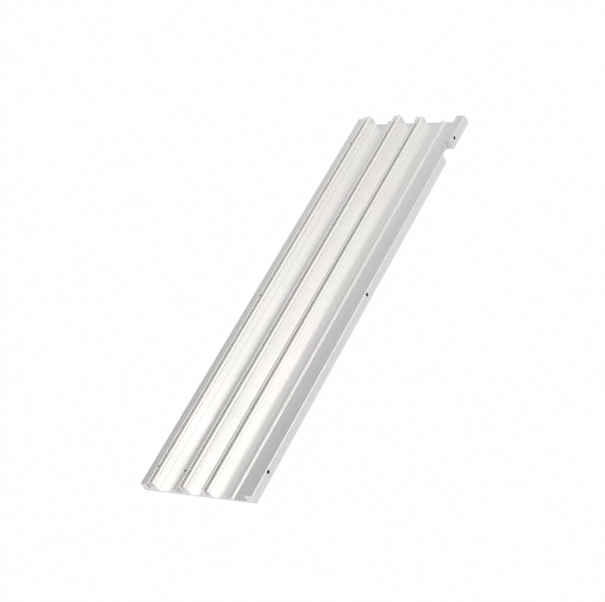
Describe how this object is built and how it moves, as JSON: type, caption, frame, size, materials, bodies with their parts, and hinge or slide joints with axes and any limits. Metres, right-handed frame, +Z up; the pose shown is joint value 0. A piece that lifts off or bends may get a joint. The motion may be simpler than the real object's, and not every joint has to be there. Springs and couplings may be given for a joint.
{
  "type": "aluminium extrusion profile",
  "caption": "Wide flat extruded aluminium panel with slotted fin ridges, open lanes, a low rib and a drilled front flange with a milled notch.",
  "frame": {"origin": "centre of the flat underside, on the floor", "axes": "+X along the extrusion towards the notched end, +Y from the front flange to the back block, +Z up"},
  "size_m": [0.736, 0.2, 0.0207],
  "materials": {
    "raw_aluminium": "mill finish"
  },
  "bodies": {
    "root": {"extruded_panel": "raw_aluminium"}
  },
  "joints": []
}
